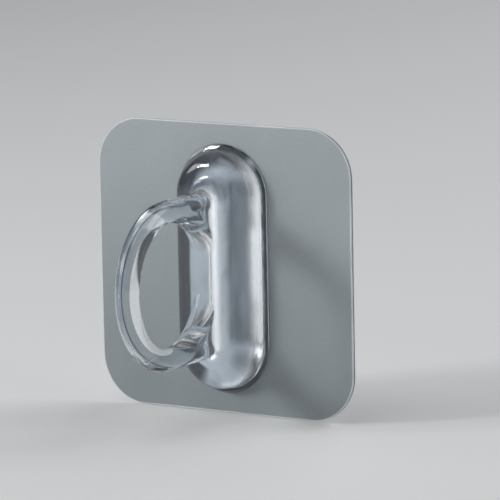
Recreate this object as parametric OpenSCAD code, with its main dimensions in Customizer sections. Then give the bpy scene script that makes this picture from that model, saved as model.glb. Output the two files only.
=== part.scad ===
// Adhesive wall hook: a clear moulded hanging loop, glued to a square self-adhesive film.
// The wall is the plane y = 0, the hook stands out of it along -Y, and +Z is up.
// The origin is the centre of the face that goes against the wall.

/* [Film] */
// Side of the square carrier film
film_side = 60; // [54:1:90]
// Corner radius of the film
film_corner_r = 10; // [3:0.5:14]
// Thickness of the film
film_t = 0.4; // [0.2:0.1:2]

/* [Adhesive and liner] */
// Thickness of the gel adhesive behind the film
adhesive_t = 0.3; // [0.2:0.1:1.2]
// How far the adhesive stops short of the film's edge
adhesive_inset = 0.4; // [0.2:0.1:2]
// Thickness of the release liner
liner_t = 0.1; // [0.05:0.05:0.3]

/* [Glue line] */
// Thickness of the cured glue between the moulding and the film
glue_t = 0.2; // [0.1:0.05:0.5]
// How far the glue stops short of the foot's edge
glue_inset = 0.5; // [0.2:0.1:2]

/* [Foot of the moulding] */
// Width of the foot where it meets the film
foot_w = 21; // [19:0.2:26]
// Thickness of the thin flange around the foot
foot_edge = 0.4; // [0.2:0.1:1]
// Width of the flange, from its edge to the dome
foot_ledge = 1.05; // [0.3:0.05:1.5]
// Rise of the dome above the flange
dome_rise = 5.3; // [4:0.1:7]
// Radius of the dome's flat crown
crown_r = 40; // [25:1:80]
// Radius of the dome's round shoulders
shoulder_r = 3.95; // [3:0.05:4.5]
// How far the centre of each round end of the foot lies beyond the loop's arm
end_lead = 0.3; // [0:0.1:4]

/* [Loop of the moulding] */
// Diameter of the loop's rod
rod_d = 4.8; // [4:0.1:6]
// Height of the loop's opening
opening_h = 25.2; // [20:0.2:28]
// Depth of the loop's opening, from back to front
opening_depth = 25.4; // [25:0.2:40]
// How far the back of the opening stands clear of the dome's crest
opening_lift = 3.2; // [1:0.1:5]
// How far each face of the web behind the opening sits below the rod's sides
web_recess = 0.3; // [0.1:0.1:1]
// Fillet radius where each arm of the loop meets the dome
root_fillet_r = 2.6; // [1:0.1:3]

/* [Hidden] */
$fn = 96;

// Levels, as distances out from the wall
adhesive_p = liner_t;
film_p = adhesive_p + adhesive_t;
glue_p = film_p + film_t;
foot_p = glue_p + glue_t;
crest_p = foot_p + foot_edge + dome_rise;

// Dome: a flat crown that runs into a round shoulder on each side at a slight angle
crown_centre_p = crest_p - crown_r;
shoulder_bite = 0.02;
shoulder_x = foot_w / 2 - foot_ledge - shoulder_r;
shoulder_gap = crown_r - shoulder_r + shoulder_bite;
shoulder_p = crown_centre_p + sqrt(pow(shoulder_gap, 2) - pow(shoulder_x, 2));
crown_half = shoulder_x * crown_r / shoulder_gap;
// Top of the upright wall under the shoulders
wall_p = max(shoulder_p, foot_p + foot_edge / 2);

// Loop: two half rings joined by straight lengths of rod
rod_r = rod_d / 2;
ring_r = opening_h / 2 + rod_r;
back_ring_p = crest_p + opening_lift + opening_h / 2;
front_ring_p = back_ring_p + opening_depth - opening_h;

web_t = rod_d - 2 * web_recess;
// The web stops this far short of the back ring's centre, inside the arms
web_end = 2;

// Half the distance between the centres of the foot's round ends
foot_end_z = ring_r + end_lead;
foot_h = foot_w + 2 * foot_end_z;

// Flare at the root of an arm: an arc that runs into the dome at a slight angle
flare_bite = 0.93;
flare_r = rod_r + root_fillet_r;
flare_p = crown_centre_p + sqrt(pow(crown_r + flare_bite * root_fillet_r, 2) - pow(flare_r, 2));
flare_root_r = flare_r * crown_r / (crown_r + root_fillet_r);

// Local Z runs out from the wall and local Y runs up
module out_from_wall(p) {
    translate([0, -p, 0]) rotate([90, 0, 0]) children();
}

// Local X runs out from the wall, local Y runs up and local Z lies across the loop
module across_loop() {
    rotate([90, 0, -90]) children();
}

module rounded_square(side, r) {
    square([side, side - 2 * r], center = true);
    square([side - 2 * r, side], center = true);
    for (sx = [-1, 1], sy = [-1, 1])
        translate([sx * (side / 2 - r), sy * (side / 2 - r)]) circle(r);
}

module stadium(w, h) {
    square([w, h - w], center = true);
    for (s = [-1, 1]) translate([0, s * (h - w) / 2]) circle(w / 2);
}

// Section of the foot: a thin flange, and a flat crown between two round shoulders
module foot_section() {
    translate([-foot_w / 2, 0]) square([foot_w, foot_edge]);
    translate([-shoulder_x - shoulder_r, 0])
        square([2 * (shoulder_x + shoulder_r), wall_p - foot_p]);
    intersection() {
        translate([0, -foot_p]) dome_section();
        translate([-foot_w / 2, 0]) square([foot_w, crest_p]);
    }
}

// Section of the dome, measured from the wall
module dome_section() {
    intersection() {
        translate([0, crown_centre_p]) circle(crown_r);
        translate([-crown_half, 0]) square([2 * crown_half, crest_p]);
    }
    for (s = [-1, 1]) translate([s * shoulder_x, shoulder_p]) circle(shoulder_r);
}

// One round end of the foot, turned from half of the section
module foot_end() {
    rotate_extrude(angle = 180) intersection() {
        foot_section();
        square([foot_w, foot_w]);
    }
}

module foot() {
    out_from_wall(foot_p) {
        rotate([90, 0, 0]) linear_extrude(2 * foot_end_z, center = true) foot_section();
        translate([0, foot_end_z, 0]) foot_end();
        translate([0, -foot_end_z, 0]) rotate([0, 0, 180]) foot_end();
    }
}

// One arm of the loop, turned with the flare that spreads its root over the dome
module arm() {
    out_from_wall(0) rotate_extrude() difference() {
        polygon([
            [0, foot_p + foot_edge],
            [0, front_ring_p],
            [rod_r, front_ring_p],
            [rod_r, flare_p],
            [flare_root_r, flare_p],
            [flare_root_r, foot_p + foot_edge]
        ]);
        translate([flare_r, flare_p]) circle(root_fillet_r);
    }
}

// Front of the loop: half a ring of rod
module front_ring() {
    across_loop() translate([front_ring_p, 0, 0])
        rotate([0, 0, -90]) rotate_extrude(angle = 180) translate([ring_r, 0]) circle(rod_r);
}

// Disc with a hollowed rim, which cuts a round inner edge on the web
module opening_cutter() {
    rotate_extrude() difference() {
        translate([0, -rod_d]) square([ring_r, 2 * rod_d]);
        translate([ring_r, 0]) circle(rod_r);
    }
}

// Web behind the opening, which ties both arms to the foot
module web() {
    across_loop() difference() {
        translate([foot_p + foot_edge, -ring_r, -web_t / 2])
            cube([back_ring_p - web_end - foot_p - foot_edge, 2 * ring_r, web_t]);
        translate([back_ring_p, 0, 0]) opening_cutter();
    }
}

module loop() {
    union() {
        front_ring();
        for (s = [-1, 1]) translate([0, 0, s * ring_r]) arm();
    }
    web();
}

module hook_moulding() {
    color([0.82, 0.86, 0.88, 0.5]) {
        foot();
        loop();
    }
}

module glue_line() {
    color([0.8, 0.84, 0.86, 0.5])
        out_from_wall(glue_p) linear_extrude(glue_t)
            stadium(foot_w - 2 * glue_inset, foot_h - 2 * glue_inset);
}

module carrier_film() {
    color([0.58, 0.61, 0.62])
        out_from_wall(film_p) linear_extrude(film_t) rounded_square(film_side, film_corner_r);
}

module adhesive_gel() {
    color([0.62, 0.65, 0.66])
        out_from_wall(adhesive_p) linear_extrude(adhesive_t)
            rounded_square(film_side - 2 * adhesive_inset, film_corner_r - adhesive_inset);
}

module release_liner() {
    color([0.8, 0.84, 0.88])
        out_from_wall(0) linear_extrude(liner_t) rounded_square(film_side, film_corner_r);
}

hook_moulding();
glue_line();
carrier_film();
adhesive_gel();
release_liner();
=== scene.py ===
"""Looks of a clear adhesive wall hook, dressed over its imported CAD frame.

The frame is the part's own: x to the right, z up, and p the distance out from the wall, which is
-y. The pieces' sizes are millimetres, and their meshes are scaled to metres once they are built.
The studio's sizes are metres, apart from those that end in _p.
"""

import logging
import math
from dataclasses import dataclass
from enum import Enum
from typing import Any, Iterable, Sequence, TypeVar, Union

import bmesh
import bpy
from mathutils import Matrix, Vector, noise


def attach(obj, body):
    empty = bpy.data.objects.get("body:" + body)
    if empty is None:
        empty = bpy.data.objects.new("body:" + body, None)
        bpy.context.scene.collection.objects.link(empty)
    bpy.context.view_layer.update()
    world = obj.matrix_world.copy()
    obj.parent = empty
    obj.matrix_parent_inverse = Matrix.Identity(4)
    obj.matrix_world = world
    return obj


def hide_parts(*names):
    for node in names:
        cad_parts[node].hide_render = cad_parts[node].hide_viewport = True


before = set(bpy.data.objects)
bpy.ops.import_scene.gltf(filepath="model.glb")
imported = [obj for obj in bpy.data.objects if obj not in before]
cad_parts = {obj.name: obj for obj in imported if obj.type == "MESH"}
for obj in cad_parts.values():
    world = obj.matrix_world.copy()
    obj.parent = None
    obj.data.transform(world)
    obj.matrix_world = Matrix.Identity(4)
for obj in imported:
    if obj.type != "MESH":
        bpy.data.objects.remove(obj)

MM = 0.001
LOG = logging.getLogger("hook")

# Directions in the part's frame
ACROSS = Vector((1, 0, 0))
OUT = Vector((0, -1, 0))
UP = Vector((0, 0, 1))

FULL_TURN = 2 * math.pi
HALF_TURN = math.pi
# Points closer than this, in millimetres, are one point
MERGE = 1e-4

Mesh = bmesh.types.BMesh
Vert = bmesh.types.BMVert
Edge = bmesh.types.BMEdge
Face = bmesh.types.BMFace
Colour = tuple[float, float, float, float]
Pair = tuple[float, float]
Value = Union[float, Sequence[float], "Sock"]
Element = TypeVar("Element")


class Body(Enum):
    """The moving groups of the part."""

    HOOK = "hook"
    LINER = "liner"


class Slot(Enum):
    """The record's material slots."""

    CLEAR = "clear_plastic"
    GLUE = "cured_glue"
    FILM = "film"
    GEL = "gel"
    LINER = "liner"


class Sock:
    """A shader socket that can stand in a Python expression."""

    def __init__(self, tree: "Tree", socket: bpy.types.NodeSocket) -> None:
        """Keeps the socket and the tree that new nodes go to."""
        self.tree = tree
        self.socket = socket

    def _math(self, operation: str, *values: Value) -> "Sock":
        """Adds a Math node.

        Args:
            operation: The node's operation.
            values: Its inputs, in order.

        Returns:
            The node's result.
        """
        return self.tree.node("ShaderNodeMath", {"operation": operation}, dict(enumerate(values)))

    def __add__(self, other: Value) -> "Sock":
        """Sum."""
        return self._math("ADD", self, other)

    __radd__ = __add__

    def __sub__(self, other: Value) -> "Sock":
        """Difference."""
        return self._math("SUBTRACT", self, other)

    def __rsub__(self, other: Value) -> "Sock":
        """Difference, reflected."""
        return self._math("SUBTRACT", other, self)

    def __mul__(self, other: Value) -> "Sock":
        """Product."""
        return self._math("MULTIPLY", self, other)

    __rmul__ = __mul__

    def __pow__(self, other: Value) -> "Sock":
        """Power."""
        return self._math("POWER", self, other)

    def __abs__(self) -> "Sock":
        """Size without sign."""
        return self._math("ABSOLUTE", self)

    def most(self, other: Value) -> "Sock":
        """The larger of two values."""
        return self._math("MAXIMUM", self, other)

    def least(self, other: Value) -> "Sock":
        """The smaller of two values."""
        return self._math("MINIMUM", self, other)

    def fade(self, start: float, end: float) -> "Sock":
        """A smooth step.

        Args:
            start: The value that gives 0.
            end: The value that gives 1.

        Returns:
            The share, from 0 to 1.
        """
        return self.tree.node(
            "ShaderNodeMapRange",
            {"interpolation_type": "SMOOTHSTEP"},
            {"Value": self, "From Min": start, "From Max": end, "To Min": 0.0, "To Max": 1.0},
        )


class Tree:
    """A node tree and the nodes that the finishes are written with."""

    def __init__(self, tree: bpy.types.NodeTree) -> None:
        """Empties the tree."""
        self.tree = tree
        tree.nodes.clear()

    def node(self, kind: str, settings: dict[str, Any], sockets: dict[Any, Value], out: Any = 0) -> Sock:
        """Adds one node.

        Args:
            kind: The node's type.
            settings: Its properties, set before its sockets.
            sockets: Values or links for its inputs, by name or number.
            out: Which output to give back.

        Returns:
            That output.
        """
        made = self.tree.nodes.new(kind)
        for name, value in settings.items():
            setattr(made, name, value)
        for name, value in sockets.items():
            if isinstance(value, Sock):
                self.tree.links.new(value.socket, made.inputs[name])
            else:
                made.inputs[name].default_value = value
        return Sock(self, made.outputs[out])

    def place(self) -> Sock:
        """The point on the piece, in metres in the part's frame."""
        return self.node("ShaderNodeTexCoord", {}, {}, "Object")

    def axes(self) -> tuple[Sock, Sock, Sock]:
        """Splits the point on the piece.

        Returns:
            Its x, y and z, in millimetres.
        """
        split = self.node("ShaderNodeSeparateXYZ", {}, {0: self.place()})
        outs = split.socket.node.outputs
        return tuple(Sock(self, o) * (1 / MM) for o in outs)

    def mottle(self, scale: float, detail: float, rise: float = 1.0) -> Sock:
        """Soft noise over the piece.

        Args:
            scale: Cells per metre.
            detail: How many finer layers it has.
            rise: How many cells it has upwards for each one across, less than 1 for streaks.

        Returns:
            The noise, around 0.5.
        """
        place = self.node("ShaderNodeMapping", {}, {"Vector": self.place(), "Scale": (1.0, 1.0, rise)})
        return self.node("ShaderNodeTexNoise", {}, {"Vector": place, "Scale": scale, "Detail": detail})

    def blend(self, share: Value, first: Value, second: Value) -> Sock:
        """Mixes two colours.

        Args:
            share: 0 for the first, 1 for the second.
            first: A colour.
            second: A colour.

        Returns:
            The mixed colour.
        """
        # A Mix node has one pair of inputs and one output for each data type, all of the same name
        return self.node("ShaderNodeMix", {"data_type": "RGBA"}, {0: share, 6: first, 7: second}, 2)

    def bump(self, height: Sock, strength: float, depth: float) -> Sock:
        """A normal that follows a height.

        Args:
            height: The height, from 0 to 1.
            strength: The share of the effect.
            depth: The depth of a full step, in millimetres.

        Returns:
            The normal.
        """
        sockets = {"Height": height, "Strength": strength, "Distance": depth * MM}
        return self.node("ShaderNodeBump", {}, sockets)

    def principled(self, sockets: dict[Any, Value]) -> None:
        """Ends a material's tree in a Principled shader.

        Args:
            sockets: Values or links for the shader's inputs.
        """
        self.surface(self.node("ShaderNodeBsdfPrincipled", {}, sockets), "ShaderNodeOutputMaterial")

    def surface(self, shader: Sock, kind: str) -> None:
        """Sends a shader to the tree's output.

        Args:
            shader: The shader.
            kind: The output node's type.
        """
        end = self.tree.nodes.new(kind)
        self.tree.links.new(shader.socket, end.inputs["Surface"])


def new_material(name: str) -> tuple[bpy.types.Material, Tree]:
    """Starts a node material.

    Args:
        name: Its name.

    Returns:
        The material and its emptied tree.
    """
    made = bpy.data.materials.new(name)
    made.use_nodes = True
    return made, Tree(made.node_tree)


def rgb(red: float, green: float, blue: float) -> Colour:
    """A linear colour from screen values.

    Args:
        red: 0 to 255.
        green: 0 to 255.
        blue: 0 to 255.

    Returns:
        The colour with full alpha.
    """

    def linear(value: float) -> float:
        """One channel."""
        share = value / 255
        return share / 12.92 if share <= 0.04045 else ((share + 0.055) / 1.055) ** 2.4

    return linear(red), linear(green), linear(blue), 1.0


@dataclass(frozen=True)
class Border:
    """A soft, wandering border between two tones, in millimetres."""

    start: float
    end: float
    wander: float = 1.0

    def past(self, place: Sock, cloud: Sock) -> Sock:
        """The share that lies past the border.

        Args:
            place: The distance that the border is measured on.
            cloud: Noise around 0, which makes the border wander.

        Returns:
            0 before the border and 1 past it.
        """
        return (place + cloud * self.wander).fade(self.start, self.end)


@dataclass(frozen=True)
class ClearPlastic:
    """Polished clear moulding plastic, faintly wavy, with a duller underside."""

    tint: Colour = (0.9, 0.945, 0.985, 1.0)
    ior: float = 1.53
    rough: float = 0.04
    under_rough: float = 0.22
    under_p: float = 1.1
    under_soft: float = 0.05
    wave_scale: float = 140.0
    wave_depth: float = 0.02

    def material(self) -> bpy.types.Material:
        """Builds the finish.

        Returns:
            The material.
        """
        made, tree = new_material(Slot.CLEAR.value)
        _, y, _ = tree.axes()
        under = (y + self.under_p).fade(-self.under_soft, self.under_soft)
        wave = tree.mottle(self.wave_scale, detail=1.0)
        tree.principled(
            {
                "Base Color": self.tint,
                "Roughness": under * (self.under_rough - self.rough) + self.rough,
                "IOR": self.ior,
                "Transmission Weight": 1.0,
                "Normal": tree.bump(wave, 1.0, self.wave_depth),
            }
        )
        return made


@dataclass(frozen=True)
class CuredGlue:
    """Glue between the foot and the film: milky, with painted shadow of the web and arms, painted shade at
    the upper left and round the edge, and painted light at the lower right.
    """

    shade_and_speck: Colour = rgb(140, 148, 157)
    painted_deep_shade: Colour = rgb(76, 83, 95)
    milky: Colour = rgb(240, 246, 250)
    painted_light: Colour = rgb(226, 233, 239)
    rough: float = 0.35
    rough_swing: float = 0.2
    ior: float = 1.48
    run: float = 15.3
    cloud_scale: float = 260.0
    # Painted shadow of the web and arms: a streaky lane right of the middle, a bar across its top and a
    # spot below it
    lane_left: Border = Border(-0.6, 3.0, 2.5)
    lane_right: Border = Border(5.5, 8.0)
    lane_bar: Border = Border(13.0, 15.4, 4.0)
    lane_top: Border = Border(16.2, 20.6, 5.0)
    lane_foot: Border = Border(-16.8, -13.4, 3.0)
    lane_share: float = 0.92
    spot: Pair = (3.9, -18.3)
    spot_rim: Border = Border(0.2, 2.9, 2.0)
    spot_share: float = 0.85
    streak_scale: float = 620.0
    streak_rise: float = 0.14
    streak_swing: float = 1.1
    # How much a step up, down or to the left counts as facing the upper left, the side the key lamp lights
    # from
    face_up: float = 0.66
    face_down: float = 0.35
    face_left: float = 0.75
    # Painted shade on the upper left, a thin line of painted shade along the other side and painted light
    # on the lower right
    painted_shade_in: Border = Border(4.8, 6.4)
    painted_shade_side: Border = Border(-0.6, 1.4)
    shade_line_in: Border = Border(9.2, 9.7)
    shade_line_side: Border = Border(-3.0, 0.0)
    painted_light_in: Border = Border(5.5, 8.0)
    painted_light_side: Border = Border(-4.4, -2.0)
    # Darker specks at random in the milky part, in the painted shade's colour
    speck_scale: float = 190.0
    speck_fade: Pair = (0.5, 0.72)
    speck_share: float = 0.35

    def _painted_shadow_lane(self, tree: Tree, x: Sock, z: Sock, cloud: Sock) -> Sock:
        """The streaky lane of painted shadow from the web and arms, with its bar and its spot.

        Args:
            tree: The material's tree.
            x: The place across.
            z: The place up.
            cloud: Noise around 0.

        Returns:
            The lane's share.
        """
        lane = self.lane_left.past(x, cloud) * (1.0 - self.lane_right.past(x, cloud))
        lane = lane.most(self.lane_bar.past(z, cloud))
        lane = lane * (1.0 - self.lane_top.past(z, cloud)) * self.lane_foot.past(z, cloud)
        spot_x, spot_z = x - self.spot[0], z - self.spot[1]
        spot = 1.0 - self.spot_rim.past((spot_x * spot_x + spot_z * spot_z) ** 0.5, cloud)
        streak = tree.mottle(self.streak_scale, detail=3.0, rise=self.streak_rise) - 0.5
        return lane.most(spot * self.spot_share) * (streak * self.streak_swing + self.lane_share)

    def material(self) -> bpy.types.Material:
        """Builds the finish.

        Returns:
            The material.
        """
        made, tree = new_material(Slot.GLUE.value)
        x, _, z = tree.axes()
        cloud = tree.mottle(self.cloud_scale, detail=3.0) - 0.5
        end = (z - self.run).most(0.0) + (z + self.run).least(0.0)
        spread = (end * end + x * x) ** 0.5
        toward_key = end.most(0.0) * self.face_up + end.least(0.0) * self.face_down - x * self.face_left
        # Painted shade: dark near the edge on the side toward the key lamp and in a thin line at the far
        # edge; painted light glows on the lower right
        painted_dark = self.painted_shade_in.past(spread, cloud) * self.painted_shade_side.past(toward_key, cloud)
        line = self.shade_line_in.past(spread, cloud) * (1.0 - self.shade_line_side.past(toward_key, cloud))
        painted_glow = self.painted_light_in.past(spread, cloud) * (1.0 - self.painted_light_side.past(toward_key, cloud))
        speck = tree.mottle(self.speck_scale, detail=4.0).fade(*self.speck_fade) * self.speck_share
        tone = tree.blend(speck, self.milky, self.shade_and_speck)
        # Painted shadow of the web and arms over the specked milky tone
        tone = tree.blend(self._painted_shadow_lane(tree, x, z, cloud), tone, self.shade_and_speck)
        tone = tree.blend(painted_glow, tone, self.painted_light)
        tree.principled(
            {
                "Base Color": tree.blend(painted_dark.most(line), tone, self.painted_deep_shade),
                "Roughness": cloud * self.rough_swing + self.rough,
                "IOR": self.ior,
            }
        )
        return made


@dataclass(frozen=True)
class SatinFilm:
    """Grey satin film, painted lighter towards the top as light from above, with a painted highlight along
    its cut edge.
    """

    face: Colour = rgb(164, 172, 176)
    shade: Colour = rgb(138, 146, 149)
    fleck: Colour = rgb(122, 130, 133)
    edge_highlight: Colour = rgb(228, 232, 234)
    rough: float = 0.42
    rough_swing: float = 0.12
    ior: float = 1.5
    half: float = 30.0
    corner: float = 10.0
    rim: float = 0.32
    rim_soft: float = 0.4
    rim_share: float = 0.85
    cloud_scale: float = 60.0
    cloud_swing: float = 0.5
    shade_reach: float = 34.0
    grain_scale: float = 2600.0
    grain_fade: Pair = (0.46, 0.74)
    grain_share: float = 0.26
    grain_bump: float = 0.25
    grain_depth: float = 0.02

    def material(self) -> bpy.types.Material:
        """Builds the finish.

        Returns:
            The material.
        """
        made, tree = new_material(Slot.FILM.value)
        cloud = tree.mottle(self.cloud_scale, detail=3.0) - 0.5
        grain = tree.mottle(self.grain_scale, detail=2.0)
        x, _, z = tree.axes()
        over_x = (abs(x) - (self.half - self.corner)).most(0.0)
        over_z = (abs(z) - (self.half - self.corner)).most(0.0)
        reach = (over_x * over_x + over_z * over_z) ** 0.5 - self.corner
        # Painted highlight: a pale band along the cut edge, where the edge catches the light
        cut = (reach + cloud * self.rim).fade(-self.rim, -self.rim * self.rim_soft) * self.rim_share
        # Painted light from above: the sheet is lighter towards the top, with random cloud
        light = cloud * self.cloud_swing + z.fade(-self.shade_reach, self.shade_reach)
        sheet = tree.blend(light, self.shade, self.face)
        sheet = tree.blend(grain.fade(*self.grain_fade) * self.grain_share, sheet, self.fleck)
        tree.principled(
            {
                "Base Color": tree.blend(cut, sheet, self.edge_highlight),
                "Roughness": grain * self.rough_swing + (self.rough - self.rough_swing / 2),
                "IOR": self.ior,
                "Normal": tree.bump(grain, self.grain_bump, self.grain_depth),
            }
        )
        return made


@dataclass(frozen=True)
class GelAdhesive:
    """Smooth tacky gel behind the film."""

    face: Colour = rgb(168, 174, 176)
    shade: Colour = rgb(152, 159, 162)
    rough: float = 0.12
    rough_swing: float = 0.12
    ior: float = 1.46
    ripple_scale: float = 220.0
    ripple_bump: float = 0.4
    ripple_depth: float = 0.05

    def material(self) -> bpy.types.Material:
        """Builds the finish.

        Returns:
            The material.
        """
        made, tree = new_material(Slot.GEL.value)
        ripple = tree.mottle(self.ripple_scale, detail=3.0)
        tree.principled(
            {
                "Base Color": tree.blend(ripple, self.shade, self.face),
                "Roughness": ripple * self.rough_swing + self.rough,
                "IOR": self.ior,
                "Normal": tree.bump(ripple, self.ripple_bump, self.ripple_depth),
            }
        )
        return made


@dataclass(frozen=True)
class ReleaseFilm:
    """Thin milky release liner."""

    face: Colour = rgb(216, 224, 232)
    shade: Colour = rgb(184, 195, 207)
    rough: float = 0.2
    rough_swing: float = 0.16
    ior: float = 1.5
    cloud_scale: float = 45.0
    cloud_fade: Pair = (0.3, 0.7)
    cloud_share: float = 0.6
    fibre_scale: float = 1300.0
    fibre_share: float = 0.4
    fibre_rise: float = 0.06
    wave_bump: float = 0.6
    wave_depth: float = 0.25

    def material(self) -> bpy.types.Material:
        """Builds the finish.

        Returns:
            The material.
        """
        made, tree = new_material(Slot.LINER.value)
        cloud = tree.mottle(self.cloud_scale, detail=3.0)
        fibre = tree.mottle(self.fibre_scale, detail=3.0)
        light = cloud.fade(*self.cloud_fade) * self.cloud_share + fibre * self.fibre_share
        wave = cloud + fibre * self.fibre_rise
        tree.principled(
            {
                "Base Color": tree.blend(light, self.shade, self.face),
                "Roughness": fibre * self.rough_swing + self.rough,
                "IOR": self.ior,
                "Normal": tree.bump(wave, self.wave_bump, self.wave_depth),
            }
        )
        return made


def as_object(bm: Mesh, name: str) -> bpy.types.Object:
    """Turns a mesh into an object.

    Args:
        bm: The mesh, which is freed.
        name: The object's name.

    Returns:
        The object, linked to the scene.
    """
    mesh = bpy.data.meshes.new(name)
    bm.to_mesh(mesh)
    bm.free()
    made = bpy.data.objects.new(name, mesh)
    bpy.context.scene.collection.objects.link(made)
    return made


def as_piece(bm: Mesh, name: str) -> bpy.types.Object:
    """Turns a mesh in millimetres into an object in metres."""
    bmesh.ops.transform(bm, matrix=Matrix.Scale(MM, 4), verts=bm.verts)
    return as_object(bm, name)


def add_form(whole: Mesh, form: Mesh) -> None:
    """Adds one mesh to another.

    Args:
        whole: The mesh that grows.
        form: The mesh to add, which is freed.
    """
    part = bpy.data.meshes.new("form")
    form.to_mesh(part)
    form.free()
    whole.from_mesh(part)
    bpy.data.meshes.remove(part)


def point(x: float, p: float, z: float) -> Vector:
    """A point from its place across, out from the wall and up."""
    return Vector((x, -p, z))


def only(parts: Iterable[Any], kind: type[Element]) -> list[Element]:
    """The vertices, edges or faces among an operator's results."""
    return [part for part in parts if isinstance(part, kind)]


def all_of(bm: Mesh) -> list[Any]:
    """Every vertex, edge and face of a mesh."""
    return bm.verts[:] + bm.edges[:] + bm.faces[:]


def open_edges(bm: Mesh) -> list[Edge]:
    """The edges that have a face on one side only."""
    return [e for e in bm.edges if e.is_boundary]


def arc(centre: Pair, radius: float, start: float, end: float, steps: int) -> list[Pair]:
    """Points on an arc.

    Args:
        centre: The arc's centre.
        radius: Its radius.
        start: Its first angle, in degrees.
        end: Its last angle, in degrees.
        steps: How many edges it has.

    Returns:
        The points.
    """
    turns = [math.radians(start + (end - start) * i / steps) for i in range(steps + 1)]
    return [(centre[0] + radius * math.cos(t), centre[1] + radius * math.sin(t)) for t in turns]


def chain(bm: Mesh, points: Iterable[Vector], closed: bool = False) -> list[Edge]:
    """Draws a line of edges.

    Args:
        bm: The mesh to draw in.
        points: The line's points.
        closed: Whether the last point joins the first.

    Returns:
        The edges.
    """
    verts = [bm.verts.new(q) for q in points]
    edges = [bm.edges.new(pair) for pair in zip(verts, verts[1:])]
    if closed:
        edges.append(bm.edges.new((verts[-1], verts[0])))
    return edges


def sweep(bm: Mesh, line: list[Edge], centre: Vector, axis: Vector, angle: float, steps: int) -> list[Edge]:
    """Spins a line of edges.

    Args:
        bm: The mesh.
        line: The edges to spin.
        centre: A point on the axis.
        axis: The axis.
        angle: How far it turns. A full turn is closed.
        steps: How many faces it makes on the way.

    Returns:
        The line where it ends.
    """
    verts = list(dict.fromkeys(v for e in line for v in e.verts))
    last = bmesh.ops.spin(
        bm,
        geom=verts + line,
        cent=centre,
        axis=axis,
        angle=angle,
        steps=steps,
        use_merge=angle == FULL_TURN,
    )["geom_last"]
    return only(last, Edge)


def draw_out(bm: Mesh, line: list[Edge], shift: Vector) -> list[Edge]:
    """Extrudes a line of edges.

    Args:
        bm: The mesh.
        line: The edges to extrude.
        shift: How far they go.

    Returns:
        The line where it ends.
    """
    last = bmesh.ops.extrude_edge_only(bm, edges=line)["geom"]
    bmesh.ops.translate(bm, verts=only(last, Vert), vec=shift)
    return only(last, Edge)


def thicken(bm: Mesh, shift: Vector) -> list[Face]:
    """Fills a closed outline and extrudes it to a solid.

    Args:
        bm: The mesh, which holds the outline alone.
        shift: How far the new face goes.

    Returns:
        The new face.
    """
    face = bmesh.ops.contextual_create(bm, geom=bm.edges[:])["faces"]
    moved = bmesh.ops.extrude_face_region(bm, geom=face)["geom"]
    bmesh.ops.translate(bm, verts=only(moved, Vert), vec=shift)
    close_up(bm)
    return only(moved, Face)


def close_up(bm: Mesh) -> None:
    """Merges doubles, fills open ends and turns faces outwards.

    Args:
        bm: The mesh.
    """
    bmesh.ops.remove_doubles(bm, verts=bm.verts, dist=MERGE)
    bmesh.ops.holes_fill(bm, edges=open_edges(bm))
    bmesh.ops.recalc_face_normals(bm, faces=bm.faces)


def dress(piece: bpy.types.Object, finish: bpy.types.Material, body: Body, slot: Slot, *nodes: str) -> None:
    """Gives a new piece its finish, its body and the nodes it stands for.

    Args:
        piece: The piece.
        finish: Its material.
        body: The body it moves with.
        slot: The record's material slot. Not used.
        nodes: The CAD nodes it replaces.
    """
    piece.data.materials.clear()
    piece.data.materials.append(finish)
    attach(piece, body.value)
    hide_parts(*nodes)
    LOG.info("%s: %d faces on body %s", piece.name, len(piece.data.polygons), body.value)


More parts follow.
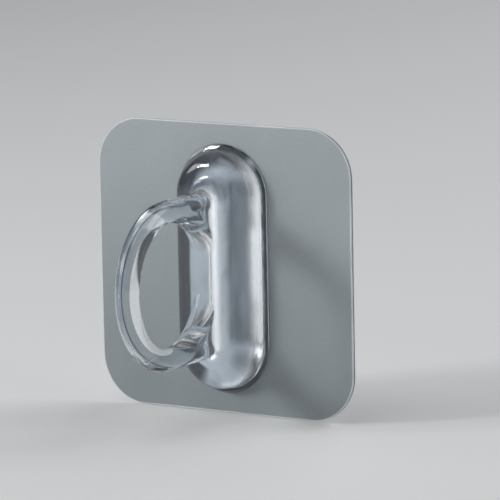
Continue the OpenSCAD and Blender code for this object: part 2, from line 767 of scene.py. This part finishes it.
@dataclass
class Moulding:
    """The clear one-piece hook: foot, arms, ring and web, blended into one skin."""

    # Foot: the flange and the dome, whose shoulder runs between two angles from straight out
    foot_w: float = 21.0
    foot_p: float = 1.0
    foot_edge: float = 0.4
    foot_round: float = 0.1
    flange_w: float = 1.05
    flange_rise: float = 0.55
    lean_in: float = 12.0
    lean_out: float = 26.0
    crown_r: float = 40.0
    shoulder_r: float = 3.95
    shoulder_from: float = 8.8
    shoulder_to: float = 80.0
    dome_rise: float = 5.3
    end_z: float = 15.3
    # Loop
    rod_r: float = 2.4
    ring_r: float = 15.0
    back_ring_p: float = 22.5
    front_ring_p: float = 22.7
    web_half: float = 2.1
    web_fillet: float = 4.0
    root_p: float = 2.2
    # Skin, which ends just above the skirt's top
    voxel: float = 0.24
    smooth_steps: int = 6
    smooth_share: float = 0.5
    skirt_p: float = 2.3
    join_gap: float = 0.08
    join_snap: float = 1e-3
    flat_face: float = 0.95
    # Parting line and weld line
    seam_rise: float = 0.05
    seam_snap: float = 0.04
    weld_turn: float = -53.0
    weld_rise: float = 0.08
    weld_face: float = 0.35
    weld_reach: float = 1.0
    # Steps of the meshes
    shoulder_steps: int = 24
    crown_steps: int = 16
    dome_steps: int = 48
    slope_steps: int = 8
    skirt_steps: int = 150
    skirt_cuts: int = 126
    skirt_merge: float = 2e-3
    rod_sides: int = 48
    bow_steps: int = 72
    ring_steps: int = 144
    fillet_steps: int = 20
    root_steps: int = 64

    @property
    def crest_p(self) -> float:
        """Distance of the dome's crest from the wall."""
        return self.foot_p + self.foot_edge + self.dome_rise

    @property
    def crown_p(self) -> float:
        """Distance of the crown's centre of curvature from the wall."""
        return self.crest_p - self.crown_r

    def _dome_side(self) -> list[Pair]:
        """Half section of the dome, from its upright wall over the shoulder to the crest.

        Returns:
            Points across and out from the wall.
        """
        start = math.radians(self.shoulder_from)
        gap = self.crown_r - self.shoulder_r
        hub = (gap * math.sin(start), self.crown_p + gap * math.cos(start))
        first, last = 90 - self.shoulder_to, 90 - self.shoulder_from
        shoulder = arc(hub, self.shoulder_r, first, last, self.shoulder_steps)
        crown = arc((0, self.crown_p), self.crown_r, last, 90, self.crown_steps)
        return shoulder + crown[1:]

    def _dome(self) -> Mesh:
        """The dome: a half section spun round at both ends and bridged between them.

        Returns:
            The closed mesh.
        """
        bm = bmesh.new()
        section = [(0, self.foot_p), (self.foot_w / 2 - self.flange_w, self.foot_p)] + self._dome_side()
        line = chain(bm, (point(x, p, self.end_z) for x, p in section))
        sweep(bm, line, point(0, 0, self.end_z), OUT, HALF_TURN, self.dome_steps)
        bmesh.ops.remove_doubles(bm, verts=bm.verts, dist=MERGE)
        other = bmesh.ops.duplicate(bm, geom=all_of(bm))["geom"]
        bmesh.ops.rotate(bm, verts=only(other, Vert), matrix=Matrix.Rotation(HALF_TURN, 3, "Y"))
        bmesh.ops.bridge_loops(bm, edges=open_edges(bm))
        close_up(bm)
        return bm

    def _skirt(self) -> Mesh:
        """The foot's underside, its sloped flange and the start of the dome's wall.

        Returns:
            The mesh, open along the top of the wall.
        """
        bm = bmesh.new()
        half, low = self.foot_w / 2, self.foot_p
        lean_in, lean_out = math.radians(self.lean_in), math.radians(self.lean_out)
        slope_r = (self.flange_w - self.foot_round) / (math.sin(lean_out) - math.sin(lean_in))
        hub_x = half - self.flange_w - slope_r * math.sin(lean_in)
        hub_p = low + self.flange_rise - slope_r * math.cos(lean_in)
        section = [(0, low), (half - self.foot_round, low), (half, low + self.foot_round)]
        section += arc((hub_x, hub_p), slope_r, 90 - self.lean_out, 90 - self.lean_in, self.slope_steps)
        wall = self._dome_side()[0][0]
        section += [(wall, low + self.flange_rise + self.foot_round), (wall, self.skirt_p)]
        line = chain(bm, (point(x, p, self.end_z) for x, p in section))
        for end in (self.end_z, -self.end_z):
            line = sweep(bm, line, point(0, 0, end), OUT, HALF_TURN, self.skirt_steps)
            line = draw_out(bm, line, point(0, 0, -2 * end))
        bmesh.ops.remove_doubles(bm, verts=bm.verts, dist=self.skirt_merge)
        long = [e for e in bm.edges if e.calc_length() > self.end_z]
        bmesh.ops.subdivide_edges(bm, edges=long, cuts=self.skirt_cuts, use_grid_fill=True)
        return bm

    def _rod_section(self, p: float) -> Mesh:
        """Starts a length of rod on the upper arm.

        Args:
            p: Its distance from the wall.

        Returns:
            A mesh of the rod's round section.
        """
        bm = bmesh.new()
        place = Matrix.Translation(point(0, p, self.ring_r)) @ Matrix.Rotation(math.pi / 2, 4, "X")
        bmesh.ops.create_circle(
            bm, cap_ends=False, radius=self.rod_r, segments=self.rod_sides, matrix=place
        )
        return bm

    def _rod(self) -> Mesh:
        """The loop's rod: out along one arm, round the front and back along the other.

        Returns:
            The closed mesh.
        """
        bm = self._rod_section(self.root_p)
        arm = point(0, self.front_ring_p - self.root_p, 0)
        line = draw_out(bm, bm.edges[:], arm)
        line = sweep(bm, line, point(0, self.front_ring_p, 0), ACROSS, HALF_TURN, self.bow_steps)
        draw_out(bm, line, -arm)
        close_up(bm)
        return bm

    def _back_ring(self) -> Mesh:
        """The round back of the opening: a full ring that sinks into the web.

        Returns:
            The closed mesh.
        """
        bm = self._rod_section(self.back_ring_p)
        sweep(bm, bm.edges[:], point(0, self.back_ring_p, 0), ACROSS, FULL_TURN, self.ring_steps)
        close_up(bm)
        return bm

    def _web(self) -> Mesh:
        """The plate behind the opening, hollowed to the ring's centre line.

        Returns:
            The closed mesh.
        """
        bm = bmesh.new()
        hollow = arc((self.back_ring_p, 0), self.ring_r, -90, -270, self.bow_steps)
        outline = [(self.root_p, -self.ring_r)] + hollow + [(self.root_p, self.ring_r)]
        chain(bm, (point(-self.web_half, p, z) for p, z in outline), closed=True)
        thicken(bm, point(2 * self.web_half, 0, 0))
        return bm

    def _fillet(self) -> list[Pair]:
        """One side of the hollow fillet that spreads the web and the arms over the dome.

        Returns:
            Points across and out from the wall, from the web down to the dome and under it.
        """
        reach = self.web_half + self.web_fillet
        rise = math.sqrt((self.crown_r + self.web_fillet) ** 2 - reach**2)
        lean = math.degrees(math.atan2(reach, rise))
        curve = arc((reach, self.crown_p + rise), self.web_fillet, 180, 270 - lean, self.fillet_steps)
        return curve + [(curve[-1][0], self.crest_p - self.dome_rise / 2)]

    def _web_root(self) -> Mesh:
        """The hollow fillets that run along both sides of the web.

        Returns:
            The closed mesh.
        """
        bm = bmesh.new()
        right = self._fillet()
        outline = right + [(-x, p) for x, p in reversed(right)]
        chain(bm, (point(x, p, -self.ring_r) for x, p in outline), closed=True)
        thicken(bm, point(0, 0, 2 * self.ring_r))
        return bm

    def _root(self, z: float) -> Mesh:
        """The flare round the root of one arm.

        Args:
            z: The arm's height.

        Returns:
            The closed mesh.
        """
        bm = bmesh.new()
        side = self._fillet()
        section = [(0, side[0][1])] + side + [(0, side[-1][1])]
        line = chain(bm, (point(x, p, z) for x, p in section))
        sweep(bm, line, point(0, 0, z), -OUT, FULL_TURN, self.root_steps)
        close_up(bm)
        return bm

    def _skin(self, forms: list[Mesh]) -> Mesh:
        """Joins closed forms under one even skin and smooths the joins.

        Args:
            forms: The forms, which are freed.

        Returns:
            The skin.
        """
        whole = bmesh.new()
        for form in forms:
            add_form(whole, form)
        draft = as_object(whole, "hook_forms")
        skin = draft.modifiers.new("skin", "REMESH")
        skin.mode = "VOXEL"
        skin.voxel_size = self.voxel
        joined = draft.evaluated_get(bpy.context.evaluated_depsgraph_get())
        rough, skinned = draft.data, bpy.data.meshes.new_from_object(joined)
        bm = bmesh.new()
        bm.from_mesh(skinned)
        bpy.data.objects.remove(draft)
        for old in (rough, skinned):
            bpy.data.meshes.remove(old)
        for _ in range(self.smooth_steps):
            bmesh.ops.smooth_vert(
                bm,
                verts=bm.verts,
                factor=self.smooth_share,
                use_axis_x=True,
                use_axis_y=True,
                use_axis_z=True,
            )
        return bm

    def _cut_line(self, bm: Mesh, parts: list[Any], place: Vector, normal: Vector) -> list[Vert]:
        """Cuts a line of vertices into the skin.

        Args:
            bm: The skin.
            parts: The vertices, edges and faces to cut.
            place: A point on the cutting plane.
            normal: The plane's normal.

        Returns:
            The vertices on the line.
        """
        cut = bmesh.ops.bisect_plane(
            bm, geom=parts, dist=self.seam_snap, plane_co=place, plane_no=normal
        )["geom_cut"]
        bm.normal_update()
        return only(cut, Vert)

    def _mark_seams(self, bm: Mesh) -> None:
        """Raises the parting line on the middle plane and a short weld line across the ring.

        Args:
            bm: The smoothed skin.
        """
        for vert in self._cut_line(bm, all_of(bm), Vector(), ACROSS):
            if -vert.co.y > self.skirt_p:
                vert.co += vert.normal * self.seam_rise
        turn = math.radians(self.weld_turn)
        hub = point(0, self.front_ring_p, 0)
        out = point(0, math.cos(turn), math.sin(turn))
        along = point(0, -math.sin(turn), math.cos(turn))
        ahead = (v for v in bm.verts if (v.co - hub).dot(out) > 0)
        near = [v for v in ahead if abs((v.co - hub).dot(along)) < self.weld_reach]
        edges = dict.fromkeys(e for v in near for e in v.link_edges)
        faces = dict.fromkeys(f for v in near for f in v.link_faces)
        for vert in self._cut_line(bm, near + list(edges) + list(faces), hub, along):
            if min(vert.normal.x, vert.normal.dot(out)) > self.weld_face:
                vert.co += vert.normal * self.weld_rise

    def build(self) -> bpy.types.Object:
        """Skins the forms, marks the seams and joins the skin to the skirt.

        Returns:
            The finished piece.
        """
        forms = [self._dome(), self._rod(), self._back_ring(), self._web(), self._web_root()]
        forms += [self._root(self.ring_r), self._root(-self.ring_r)]
        bm = self._skin(forms)
        self._mark_seams(bm)
        bmesh.ops.bisect_plane(
            bm,
            geom=all_of(bm),
            dist=self.join_snap,
            plane_co=point(0, self.skirt_p + self.join_gap, 0),
            plane_no=-OUT,
            clear_outer=True,
        )
        add_form(bm, self._skirt())
        bmesh.ops.bridge_loops(bm, edges=open_edges(bm))
        close_up(bm)
        LOG.info("clear hook: %d faces, %d open edges", len(bm.faces), len(open_edges(bm)))
        for face in bm.faces:
            face.smooth = face.normal.y < self.flat_face
        return as_piece(bm, "clear_hook")

    def make(self) -> None:
        """Builds the hook and dresses it in clear plastic."""
        dress(self.build(), ClearPlastic().material(), Body.HOOK, Slot.CLEAR, "hook_moulding")


@dataclass
class FilmSheet:
    """The square carrier film, with its slightly uneven cut edge."""

    side: float = 60.0
    corner: float = 10.0
    corner_steps: int = 24
    side_cuts: int = 24
    back_p: float = 0.4
    front_p: float = 0.78
    edge_round: float = 0.06
    edge_segments: int = 2
    rim_angle: float = 1.2
    wander: float = 0.1
    wander_scale: float = 0.13

    def build(self) -> bpy.types.Object:
        """Cuts the sheet and rounds its edges.

        Returns:
            The finished piece.
        """
        bm = bmesh.new()
        inner = self.side / 2 - self.corner
        outline: list[Pair] = []
        for turn, (sx, sz) in zip((0, 90, 180, 270), ((1, 1), (-1, 1), (-1, -1), (1, -1))):
            outline += arc((sx * inner, sz * inner), self.corner, turn, turn + 90, self.corner_steps)
        chain(bm, (point(x, self.back_p, z) for x, z in outline), closed=True)
        long = [e for e in bm.edges if e.calc_length() > inner]
        bmesh.ops.subdivide_edges(bm, edges=long, cuts=self.side_cuts)
        for vert in bm.verts:
            shift = noise.noise(vert.co * self.wander_scale) * self.wander
            flat = Vector((vert.co.x, 0, vert.co.z)).normalized()
            vert.co -= flat * (self.wander * 0.5 - shift)
        thicken(bm, point(0, self.front_p - self.back_p, 0))
        shared = (e for e in bm.edges if len(e.link_faces) == 2)
        bmesh.ops.bevel(
            bm,
            geom=[e for e in shared if e.calc_face_angle() > self.rim_angle],
            offset=self.edge_round,
            offset_type="OFFSET",
            affect="EDGES",
            segments=self.edge_segments,
            profile=0.5,
            material=-1,
        )
        return as_piece(bm, "film_sheet")

    def make(self) -> None:
        """Builds the film and dresses it in satin grey."""
        dress(self.build(), SatinFilm().material(), Body.HOOK, Slot.FILM, "carrier_film")


@dataclass
class GluePad:
    """The cured glue: a thin pad just clear of the foot, with a rim that touches it in places."""

    width: float = 20.4
    run: float = 15.3
    end_steps: int = 48
    side_cuts: int = 20
    back_p: float = 0.79
    front_p: float = 0.97
    rim_w: float = 1.0
    rim_rise: float = 0.09
    wander: float = 0.25
    wander_scale: float = 0.35
    # Past this share of up and left, the rim stays low
    loose_up: float = 0.66
    loose_left: float = 0.75
    loose_from: float = 4.0

    def build(self) -> bpy.types.Object:
        """Lays the pad, with a rim that wets the foot all round but for the upper left.

        Returns:
            The finished piece.
        """
        bm = bmesh.new()
        half = self.width / 2
        outline = [(half, 0.0)] + arc((0, self.run), half, 0, 180, self.end_steps)
        outline += arc((0, -self.run), half, 180, 360, self.end_steps)
        chain(bm, (point(x, self.back_p, z) for x, z in outline), closed=True)
        long = [e for e in bm.edges if e.calc_length() > half]
        bmesh.ops.subdivide_edges(bm, edges=long, cuts=self.side_cuts)
        for vert in bm.verts:
            flat = Vector((vert.co.x, 0, vert.co.z)).normalized()
            vert.co -= flat * self.wander * (0.5 + noise.noise(vert.co * self.wander_scale))
        top = thicken(bm, point(0, self.front_p - self.back_p + self.rim_rise, 0))
        bmesh.ops.inset_region(bm, faces=top, thickness=self.rim_w)
        hollow = {v for f in top for v in f.verts}
        raised = (v for v in bm.verts if v.co.y < -self.front_p)
        loose = {v for v in raised if v.co.z * self.loose_up - v.co.x * self.loose_left > self.loose_from}
        bmesh.ops.translate(bm, verts=list(hollow | loose), vec=point(0, -self.rim_rise, 0))
        return as_piece(bm, "glue_pad")

    def make(self) -> None:
        """Builds the pad and dresses it in cured glue."""
        dress(self.build(), CuredGlue().material(), Body.HOOK, Slot.GLUE, "glue_line")


@dataclass
class Backing:
    """The gel behind the film and the liner over it, whose CAD meshes are kept."""

    gel_node: str = "adhesive_gel"
    liner_node: str = "release_liner"

    def _keep(self, node: str, finish: bpy.types.Material, body: Body) -> None:
        """Gives a kept node its finish.

        Args:
            node: The CAD node.
            finish: Its material.
            body: The body it moves with.
        """
        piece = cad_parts[node]
        piece.data.materials.clear()
        piece.data.materials.append(finish)
        LOG.info("%s: kept on body %s", node, body.value)

    def make(self) -> None:
        """Dresses both nodes."""
        self._keep(self.gel_node, GelAdhesive().material(), Body.HOOK)
        self._keep(self.liner_node, ReleaseFilm().material(), Body.LINER)


def outward(azimuth: float, elevation: float) -> Vector:
    """The direction from the hook to a place in the studio.

    Args:
        azimuth: Degrees to the right of straight out from the wall.
        elevation: Degrees above the horizon.

    Returns:
        The unit vector.
    """
    a, e = math.radians(azimuth), math.radians(elevation)
    return Vector((math.sin(a) * math.cos(e), -math.cos(a) * math.cos(e), math.sin(e)))


@dataclass
class Lamp:
    """One soft white lamp, aimed at the hook."""

    name: str
    azimuth: float
    elevation: float
    distance: float
    width: float
    height: float
    radiance: float

    def build(self, aim: Vector) -> None:
        """Places the lamp.

        Args:
            aim: The point it faces, in metres.
        """
        data = bpy.data.lights.new(self.name, "AREA")
        data.shape = "RECTANGLE"
        data.size = self.width
        data.size_y = self.height
        data.energy = self.radiance * math.pi * self.width * self.height
        made = bpy.data.objects.new(self.name, data)
        out = outward(self.azimuth, self.elevation)
        made.location = aim + out * self.distance
        made.rotation_mode = "QUATERNION"
        made.rotation_quaternion = out.to_track_quat("Z", "Y")
        bpy.context.scene.collection.objects.link(made)


@dataclass
class Studio:
    """Floor, lamps, surroundings and camera."""

    floor_z: float = -0.0302
    floor_side: float = 8.0
    floor_rough: float = 0.7
    floor_colour: Colour = (0.78, 0.785, 0.79, 1.0)
    floor_dark: Colour = (0.0, 0.0, 0.0, 1.0)
    floor_lift: Colour = (0.06, 0.06, 0.06, 1.0)
    world_colour: Colour = (0.1, 0.103, 0.108, 1.0)
    # Camera: the middle of the film's front falls on centre_px, at view_scale pixels to a millimetre
    view_azimuth: float = 31.54
    view_elevation: float = 9.99
    view_roll: float = 1.13
    view_distance: float = 0.858
    view_scale: float = 4.8889
    image_side: float = 500.0
    centre_px: Pair = (224.4, 268.54)
    film_p: float = 0.8
    sensor_w: float = 36.0
    clip: Pair = (0.01, 50.0)
    # Lamps, each with its angles, distance, size and radiance, which face a point out from the wall
    aim_p: float = 12.0
    lamps: tuple[Lamp, ...] = (
        Lamp("key", -43, 23, 0.92, 0.2, 0.18, 30.0),
        Lamp("window", -62, 22, 0.92, 0.36, 0.28, 4.9),
        Lamp("top", -10, 70, 0.92, 0.47, 0.4, 2.0),
        Lamp("front", -20, 12, 1.2, 0.9, 0.68, 0.6),
        Lamp("side", 80, 20, 1.2, 0.36, 0.6, 1.8),
        Lamp("rim", 132, 38, 1.3, 0.9, 0.8, 2.1),
        Lamp("back", 180, 33, 1.3, 0.9, 0.8, 1.1),
    )

    def _floor(self) -> None:
        """Lays the pale floor."""
        bm = bmesh.new()
        bmesh.ops.create_grid(bm, x_segments=1, y_segments=1, size=self.floor_side / 2)
        floor = as_object(bm, "floor")
        floor.location.z = self.floor_z
        made, tree = new_material("floor")
        rays = ("Is Camera Ray", "Is Glossy Ray", "Is Transmission Ray")
        first, *others = (tree.node("ShaderNodeLightPath", {}, {}, ray) for ray in rays)
        seen = sum(others, first).least(1.0)
        tree.principled(
            {
                "Base Color": self.floor_colour,
                "Roughness": self.floor_rough,
                "Emission Color": tree.blend(seen, self.floor_dark, self.floor_lift),
                "Emission Strength": 1.0,
            }
        )
        floor.data.materials.append(made)

    def _world(self) -> None:
        """Sets the even surroundings."""
        world = bpy.data.worlds.new("studio")
        world.use_nodes = True
        tree = Tree(world.node_tree)
        glow = tree.node("ShaderNodeBackground", {}, {"Color": self.world_colour, "Strength": 1.0})
        tree.surface(glow, "ShaderNodeOutputWorld")
        bpy.context.scene.world = world

    def _camera(self) -> None:
        """Sets the camera where the photograph was taken from."""
        data = bpy.data.cameras.new("camera")
        data.sensor_width = self.sensor_w
        data.lens = data.sensor_width * self.view_scale * self.view_distance / MM / self.image_side
        data.clip_start, data.clip_end = self.clip
        made = bpy.data.objects.new("camera", data)
        out = outward(self.view_azimuth, self.view_elevation)
        right = UP.cross(out).normalized()
        up = out.cross(right)
        home = point(0, self.film_p, 0) * MM
        roll = math.radians(self.view_roll)
        half = self.image_side / 2
        dx = (half - self.centre_px[0]) / self.view_scale * MM
        dy = (self.centre_px[1] - half) / self.view_scale * MM
        across = dx * math.cos(roll) + dy * math.sin(roll)
        lift = dy * math.cos(roll) - dx * math.sin(roll)
        eye = home + out * self.view_distance
        aim = home + right * across + up * lift
        look = (aim - eye).to_track_quat("-Z", "Y")
        made.rotation_mode = "QUATERNION"
        made.rotation_quaternion = look @ Matrix.Rotation(-roll, 3, "Z").to_quaternion()
        made.location = eye
        bpy.context.scene.collection.objects.link(made)
        bpy.context.scene.camera = made

    def build(self) -> None:
        """Builds the studio."""
        bpy.context.scene.view_settings.view_transform = "Standard"
        self._floor()
        self._world()
        self._camera()
        for lamp in self.lamps:
            lamp.build(point(0, self.aim_p, 0) * MM)


def main() -> None:
    """Makes the hook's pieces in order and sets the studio."""
    logging.basicConfig(level=logging.INFO, format="%(name)s: %(message)s")
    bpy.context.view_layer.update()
    Moulding().make()
    GluePad().make()
    FilmSheet().make()
    Backing().make()
    Studio().build()


if __name__ == "__main__":
    main()
